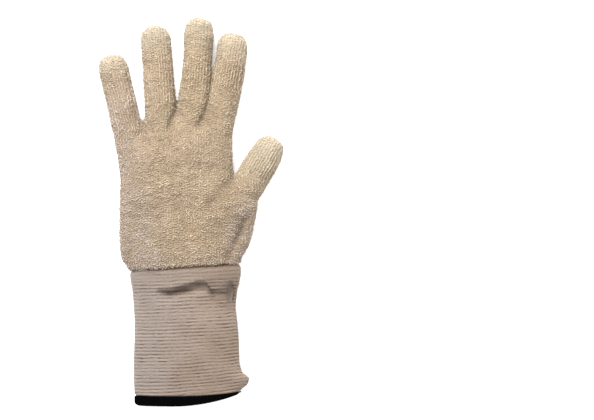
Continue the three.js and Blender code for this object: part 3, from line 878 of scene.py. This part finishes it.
class GLOVE_OT_terry_pile(bpy.types.Operator):
    """Covers the hand's ground cloth with loops of yarn"""

    bl_idname = "glove.terry_pile"
    bl_label = "Terry Loops"

    def execute(self, context):
        sizes = context.scene.glove_terry
        cloth = bpy.data.objects["terry_cloth"]
        tree = BVHTree.FromObject(cloth, context.evaluated_depsgraph_get())
        rng = np.random.default_rng(11)
        spots = Spots(sizes.spacing)
        rows_of_loops(tree, spots, rng)
        fill_between(cloth, tree, spots, rng)
        places, normals = np.array(spots.places), np.array(spots.normals)
        loop, faces = loop_of_yarn(sizes)
        millimetres = places / MM - TO_FRAME
        share = leaning(millimetres)
        _, _, ways = own_grid(millimetres)
        turn = np.radians(rng.normal(0, 24, len(places)) + np.where(rng.random(len(places)) < share, 90, 0))
        lean = np.radians(rng.normal(0, 30, len(places)).clip(-62, 62))
        first = unit(ways - normals * np.sum(ways * normals, 1, keepdims=True))
        second = np.cross(normals, first)
        side = first * np.cos(turn)[:, None] + second * np.sin(turn)[:, None]
        flat = np.cross(normals, side)
        up = unit(normals * np.cos(lean)[:, None] + flat * np.sin(lean)[:, None])
        ridge = crinkles(millimetres)
        scale = (rng.uniform(0.88, 1.18, len(places)) + 0.35 * ridge)[:, None, None]
        frames = np.stack([side, np.cross(up, side), up], 2) * scale
        mottle = 0.09 * value_noise(millimetres, 5, 42) + 0.07 * value_noise(millimetres, 16, 43)
        # The loops' tones follow the crinkle ridges, paler on their crests and darker between them, and drop in the
        # folds: painted highlight and painted shade over random tones.
        tones = rng.normal(0.5, 0.11, len(places)) + 0.5 * ridge + mottle - painted_fold_shade(millimetres)
        tones = tones.clip(0, 1)
        owner = regions(millimetres)
        part = np.where(millimetres[:, 1] < PALM_LENGTH * 0.42, "heel", "palm")
        face = np.where(normals[:, 2] >= -0.1, "_top", "_under")
        owner = np.where(owner == "palm", np.char.add(part, face), owner)
        tip_highlight, grey = painted_tip_light(millimetres), greying(millimetres)
        finish = terry_finish("terry loops", context.scene.glove_colours, 0.0)
        for name in sorted(set(owner)):
            own = owner == name
            values = {"tone": tones[own], "tip_highlight": tip_highlight[own], "grey": grey[own]}
            piece = many_copies(f"pile_{name}", loop, faces, places[own], frames[own], values)
            points = mesh_points(piece.data)
            points[:, 2] = np.maximum(points[:, 2], 0)
            set_points(piece.data, points)
            if len(piece.data.polygons) > 195000:
                raise RuntimeError(f"{piece.name} has too many faces: set the loops farther apart")
            finish_piece(piece, f"pile_{name}", finish)
            print(piece.name, len(piece.data.polygons))
        return {"FINISHED"}


# The knitted cuff


def crease_shape(x, y):
    """How far the creases below the seam lift or sink the upper cloth, in millimetres."""
    lift = np.zeros_like(x)
    for line, drop, roll, reach in CUFF_CREASES:
        line = np.array(line, float)
        level = np.interp(x, line[:, 0], line[:, 1])
        ends = np.minimum(x - line[0, 0], line[-1, 0] - x)
        share = np.clip(ends / 9, 0, 1) ** 0.8
        above = y - level
        below = np.maximum(-above, 0)
        fallen = -drop * np.clip((0.6 - above) / 1.8, 0, 1) * np.exp(-((below / reach) ** 1.5))
        lift += share * (roll * np.exp(-(((above - 2.6) / 2.6) ** 2)) + fallen)
    pocket = np.exp(-(((x - 41.6) / 2.3) ** 2) - ((y + 25) / 8.5) ** 4)
    hollow = np.exp(-(((x - 33) / 7.5) ** 2) - ((y + 27) / 4.0) ** 2)
    return lift - 7.5 * pocket - 3.0 * hollow


def painted_crease_shade(x, y):
    """How much the knit is darkened with painted shade in the creases below the seam, on its right side and in the
    pocket by its right edge.
    """
    shade = np.zeros_like(x)
    for line, drop, _, reach in CUFF_CREASES:
        line = np.array(line, float)
        below = np.interp(x, line[:, 0], line[:, 1]) - y
        share = np.clip(np.minimum(x - line[0, 0], line[-1, 0] - x) / 12, 0, 1)
        shade += 0.24 * drop * share * np.exp(-(((below - 1.5) / (0.6 * reach)) ** 2))
    side = 0.35 * np.exp(-(((x - 40) / 14) ** 2) - ((y + 24) / 12) ** 2)
    return shade + side + 0.9 * np.exp(-(((x - 42) / 3.5) ** 2) - ((y + 26) / 9) ** 2)


class GLOVE_OT_knit_cuff(bpy.types.Operator):
    """Makes the ribbed cuff with its ribs, its turned-in top and the folds below the seam"""

    bl_idname = "glove.knit_cuff"
    bl_label = "Knit Cuff"

    def execute(self, context):
        sizes = context.scene.glove_cuff
        pitch, depth = sizes.rib_pitch / MM, sizes.rib_depth / MM
        sides = 240
        hem_top = CUFF_LENGTH - HEM_HEIGHT - SEWN_GAP - HEM_THICKNESS
        hem_inset = HEM_THICKNESS + SEWN_GAP
        thinned = hem_inset + KNIT_WALL - HEM_THICKNESS
        end = 1 - (HEM_THICKNESS + SEWN_GAP) / CUFF_LENGTH
        tuck_outside = TERRY_WALL + SEWN_GAP
        rings, tones, down = [], [], []

        def keep(ring, tone, distance):
            rings.append(ring)
            tones.append(tone if np.ndim(tone) else np.full(sides, float(tone)))
            down.append(distance)

        keep(tuck_ring(SEAM_TUCK, tuck_outside, sides)[0], 0.4, -SEAM_TUCK)
        keep(tuck_ring(-SEWN_GAP, tuck_outside, sides)[0], 0.2, 0)
        ribs = int((hem_top - 2 * SEWN_GAP) // pitch)
        steps = 6
        around = np.arange(sides) / sides
        from_seam = abs((around - SIDE_SEAM_SHARE + 0.5) % 1 - 0.5)
        seam_trench = np.exp(-((from_seam * sides / 2.2) ** 2))
        plain = np.clip((from_seam * 230 - 2.0) / 4, 0, 1)
        for i in range(ribs * steps + 1):
            distance = SEWN_GAP + i * pitch / steps
            ring, up = cuff_ring(distance / CUFF_LENGTH, SEAM_STEP, sides)
            out = outwards(ring)
            laid = np.stack([around * 230, np.full(sides, distance)], 1)
            wave = 0.16 * value_noise(laid, 14, 21) + 0.1 * value_noise(laid, 4.5, 22)
            tilt = 0.04 * ring[:, 0] * np.clip((distance - 12) / 30, 0, 1) * np.clip(up * 4, 0, 1)
            phase = i / steps + wave + tilt / pitch
            rib = np.floor(phase)
            own = np.stack([around * 230, rib * 40], 1)
            bite = 0.68 + 0.5 * value_noise(own, 7, 23) + 0.65 * value_noise(own + 500, 2.6, 24)
            calm = 1 - 0.55 * np.exp(-(((distance - 9) / 6) ** 2))
            bite = np.clip(bite * 1.12, 0.1, 1.5) * calm * plain
            wall = abs(np.sin(np.pi * phase)) ** 0.7
            height = depth * (1 - bite * (1 - wall))
            fuzz = 0.05 * value_noise(laid, 1.3, 25)
            height = height + fuzz
            height = height - 1.6 * np.exp(-(((distance - 1.6) / 1.5) ** 2)) + 0.5 * value_noise(laid, 30, 26)
            height = height * (1 - seam_trench) - (SIDE_SEAM_DEPTH - 0.2) * seam_trench
            ring = ring + out * height[:, None]
            ring[:, 2] += crease_shape(ring[:, 0], ring[:, 1]) * np.clip(up * 4, 0, 1)
            ring[:, 2] = np.maximum(ring[:, 2], 0.05)
            # Painted shade: a dark band on the knit just below the seam, where the terry overhangs it.
            seam_painted_shade = np.exp(-((distance / 1.9) ** 2)) * np.clip((ring[:, 0] + 42) / 12, 0.2, 1) * np.clip(up * 3, 0, 1)
            # The tone is pale on the rib crests and low in the grooves, painted shade over the knit's own uneven tone,
            # and lower still in the creases below the seam, also painted shade.
            tone = wall * bite + (1 - bite) * 0.75 - painted_crease_shade(ring[:, 0], ring[:, 1]) * np.clip(up * 4, 0, 1)
            keep(ring, tone - 2.2 * seam_painted_shade, distance)
        plain_start = [hem_top / CUFF_LENGTH, 1 - (HEM_HEIGHT + HEM_THICKNESS) / CUFF_LENGTH]
        for along in plain_start:
            keep(cuff_ring(along, hem_inset, sides)[0], 0.4, along * CUFF_LENGTH)
        keep(cuff_ring(end, hem_inset, sides, HEM_END_RISE)[0], 0.4, end * CUFF_LENGTH)
        keep(cuff_ring(end, thinned, sides, HEM_END_RISE)[0], 0.4, end * CUFF_LENGTH + 1)
        for along in reversed(plain_start):
            keep(cuff_ring(along, thinned, sides)[0], 0.4, (2 * end - along) * CUFF_LENGTH)
        for away in np.linspace(hem_top, SEAM_TUCK, 14):
            ring, up = cuff_ring(away / CUFF_LENGTH, SEAM_STEP + KNIT_WALL, sides)
            ring[:, 2] += crease_shape(ring[:, 0], ring[:, 1]) * np.clip(up * 1.6, 0, 1) * 0.6
            keep(ring, 0.5, 2 * CUFF_LENGTH - away)
        keep(tuck_ring(-SEWN_GAP, tuck_outside + KNIT_WALL, sides)[0], 0.3, 2 * CUFF_LENGTH)
        keep(tuck_ring(SEAM_TUCK, tuck_outside + KNIT_WALL, sides)[0], 0.3, 2 * CUFF_LENGTH + SEAM_TUCK)
        cuff = ring_tube(rings, tones, np.array(down))
        finish = knit_finish("ribbed knit", context.scene.glove_colours)
        finish_piece(cuff, "ribbed_cuff", finish, "knit_cuff")
        return {"FINISHED"}


class GLOVE_OT_hem_binding(bpy.types.Operator):
    """Makes the black binding that is folded over the cuff's end"""

    bl_idname = "glove.hem_binding"
    bl_label = "Hem Binding"

    def execute(self, context):
        sizes = context.scene.glove_cuff
        sides = 720
        top = 1 - (HEM_HEIGHT + HEM_THICKNESS) / CUFF_LENGTH
        inner = HEM_THICKNESS + SEWN_GAP + KNIT_WALL - HEM_THICKNESS + SEWN_GAP
        around = np.arange(sides) / sides
        ridges = round(226 * MM / sizes.binding_ridge)
        ridge = np.sin(2 * np.pi * around * ridges)

        def ring(share, inset, relief):
            upper = cuff_ring(top, inset, sides)[0]
            lower = cuff_ring(1, inset, sides, HEM_END_RISE)[0]
            between = upper + (lower - upper) * share
            across = (between[:, 0] + 46.6) / 97.9
            corner = np.clip(1 - across / 0.055, 0, 1) ** 2 + np.clip((across - 0.95) / 0.05, 0, 1) ** 2
            between[:, 1] += (share - 0.35) * 3.4 * corner
            out = outwards(between)
            return between + out * (relief * ridge)[:, None]

        rings = []
        for share, inset, relief in (
            [(0.0, 0.55, 0.0), (0.01, 0.3, 0.04), (0.06, 0.14, 0.1)]
            + [(share, 0.12, 0.12) for share in np.linspace(0.15, 0.85, 7)]
            + [(0.93, 0.2, 0.1), (0.98, 0.45, 0.05), (1.0, 0.9, 0.0), (1.0, 2.4, 0.0)]
            + [(1.0, inner + 0.8, 0.0), (0.97, inner + HEM_THICKNESS - 0.1, 0.0)]
            + [(share, inner + HEM_THICKNESS - 0.1, -0.06) for share in np.linspace(0.85, 0.15, 4)]
            + [(0.02, inner + HEM_THICKNESS - 0.2, 0.0), (0.0, inner + 0.6, 0.0), (0.0, inner, 0.0)]
            + [(0.86, inner, 0.0), (0.86, HEM_THICKNESS, 0.0), (0.0, HEM_THICKNESS, 0.0)]
        ):
            rings.append(ring(share, inset, relief))
        for one in rings:
            one[:, 2] = np.maximum(one[:, 2], 0.02)
        hem = ring_tube(rings)
        colours = context.scene.glove_colours
        finish = thread_finish("black binding thread", colours.hem_dark, colours.hem_light, 0.95, 0.0)
        finish.node_tree.nodes["Principled BSDF"].inputs["Specular IOR Level"].default_value = 0.015
        finish_piece(hem, "hem_tape", finish, "hem_binding")
        return {"FINISHED"}


class GLOVE_OT_side_seam(bpy.types.Operator):
    """Makes the overlocked seam down the cuff's side: a row of slanting stitches"""

    bl_idname = "glove.side_seam"
    bl_label = "Side Seam"

    def execute(self, context):
        sizes = context.scene.glove_cuff
        length = CUFF_LENGTH - HEM_HEIGHT - HEM_THICKNESS - 2 * SIDE_SEAM_START
        count = int(length / (sizes.stitch_pitch / MM))
        sides = 260
        corner = round(sides * SIDE_SEAM_SHARE)
        stations = []
        for distance in SIDE_SEAM_START + np.linspace(0, length, count + 1):
            ring, _ = cuff_ring(distance / CUFF_LENGTH, SEAM_STEP - 0.8, sides)
            around = unit(ring[corner + 3] - ring[corner - 3])
            out = np.array([around[2], 0, -around[0]])
            stations.append((ring[corner], around, out))
        at = np.array([station[0] for station in stations])
        around = np.array([station[1] for station in stations])
        out = np.array([station[2] for station in stations])
        ahead = unit(np.gradient(at, axis=0))
        bpy.ops.object.select_all(action="DESELECT")
        bpy.ops.mesh.primitive_torus_add(
            major_segments=14, minor_segments=6, major_radius=1.0, minor_radius=0.26, rotation=(np.pi / 2, 0, 0)
        )
        stitch = context.object
        bpy.ops.object.transform_apply(location=True, rotation=True, scale=True)
        bpy.ops.object.mode_set(mode="EDIT")
        bpy.ops.mesh.select_all(action="SELECT")
        bpy.ops.mesh.quads_convert_to_tris()
        bpy.ops.object.mode_set(mode="OBJECT")
        shape = mesh_points(stitch.data)
        shape[:, 0] *= 1.75
        shape[:, 2] *= 0.62
        faces = np.array([tuple(face.vertices) for face in stitch.data.polygons])
        bpy.data.objects.remove(stitch)
        slant = unit(around + 0.35 * ahead)
        frames = np.stack([slant, np.cross(out, slant), out], 2) * MM
        places = to_frame(at - out * 0.25)
        values = {"tone": np.linspace(0.4, 0.6, len(places))}
        seam = many_copies("overlock", shape, faces, places, frames, values)
        colours = context.scene.glove_colours
        finish = thread_finish("seam thread", colours.knit_dark, colours.knit_light, 0.8, 0.15)
        finish_piece(seam, "overlock_seam", finish, "side_seam")
        return {"FINISHED"}


class GLOVE_OT_stage(bpy.types.Operator):
    """Makes the pale floor, the soft lights and the camera that looks straight down"""

    bl_idname = "glove.stage"
    bl_label = "Floor, Lights and Camera"

    def execute(self, context):
        stage = context.scene.glove_stage
        bpy.ops.object.select_all(action="DESELECT")
        bpy.ops.mesh.primitive_grid_add(x_subdivisions=2, y_subdivisions=2, size=24, location=(0, 0, -0.0002))
        floor = context.object
        floor.name = "floor"
        bpy.ops.object.transform_apply(location=True, rotation=True, scale=True)
        paper, tree, shader = new_finish("white paper", 0.9, 0.0)
        grain = noise_node(tree, object_place(tree), 3)
        tone = mixed(tree, grain, (0.86, 0.86, 0.86), (0.88, 0.88, 0.88))
        join(tree, tone, shader.inputs["Base Color"])
        shader.inputs["Emission Color"].default_value = (1, 1, 1, 1)
        shader.inputs["Emission Strength"].default_value = 0.4
        floor.data.materials.append(paper)
        world = bpy.data.worlds.new("soft sky")
        world.use_nodes = True
        world.node_tree.nodes["Background"].inputs["Color"].default_value = (1, 1, 1, 1)
        world.node_tree.nodes["Background"].inputs["Strength"].default_value = stage.sky
        context.scene.world = world
        for name, place, size, power in (
            ("key light", (-0.32, 1.0, 1.0), 0.8, stage.key),
            ("fill light", (0.5, -0.6, 1.3), 1.2, stage.fill),
        ):
            bpy.ops.object.light_add(type="AREA", location=place)
            light = context.object
            light.name = name
            light.data.size = size
            light.data.energy = power
            aim = Vector((0, 0, 0.02)) - Vector(place)
            light.rotation_euler = aim.to_track_quat("-Z", "Y").to_euler()
        distance = stage.pixel * 594 / 36 * stage.lens
        bpy.ops.object.camera_add(location=(0.0972, 0.0011, distance + 0.015), rotation=(0, 0, 0))
        camera = context.object
        camera.name = "camera"
        camera.data.lens = stage.lens
        camera.data.sensor_width = 36
        camera.data.clip_start, camera.data.clip_end = 0.05, 20
        context.scene.camera = camera
        context.scene.view_settings.view_transform = "Standard"
        return {"FINISHED"}


STEPS = (
    GLOVE_OT_terry_hand,
    GLOVE_OT_terry_pile,
    GLOVE_OT_knit_cuff,
    GLOVE_OT_side_seam,
    GLOVE_OT_hem_binding,
    GLOVE_OT_stage,
)


class GLOVE_PT_panel(bpy.types.Panel):
    """Lists the glove's steps in the 3D view's sidebar"""

    bl_idname = "GLOVE_PT_panel"
    bl_label = "Terry Cloth Glove"
    bl_space_type = "VIEW_3D"
    bl_region_type = "UI"
    bl_category = "Glove"

    def draw(self, context):
        for step in STEPS:
            self.layout.operator(step.bl_idname)
        for group in GROUPS:
            settings = getattr(context.scene, group)
            box = self.layout.box()
            for name in settings.bl_rna.properties.keys():
                if name not in ("name", "rna_type"):
                    box.prop(settings, name)


GROUPS = {
    "glove_colours": GloveColours,
    "glove_terry": GloveTerry,
    "glove_cuff": GloveCuff,
    "glove_stage": GloveStage,
}


def register():
    for kind in (*GROUPS.values(), *STEPS, GLOVE_PT_panel):
        bpy.utils.register_class(kind)
    for name, kind in GROUPS.items():
        setattr(bpy.types.Scene, name, bpy.props.PointerProperty(type=kind))


def unregister():
    for name in GROUPS:
        delattr(bpy.types.Scene, name)
    for kind in reversed((*GROUPS.values(), *STEPS, GLOVE_PT_panel)):
        bpy.utils.unregister_class(kind)


def main():
    register()
    bpy.ops.glove.terry_hand()
    bpy.ops.glove.terry_pile()
    bpy.ops.glove.knit_cuff()
    bpy.ops.glove.side_seam()
    bpy.ops.glove.hem_binding()
    bpy.ops.glove.stage()


if __name__ == "__main__":
    main()
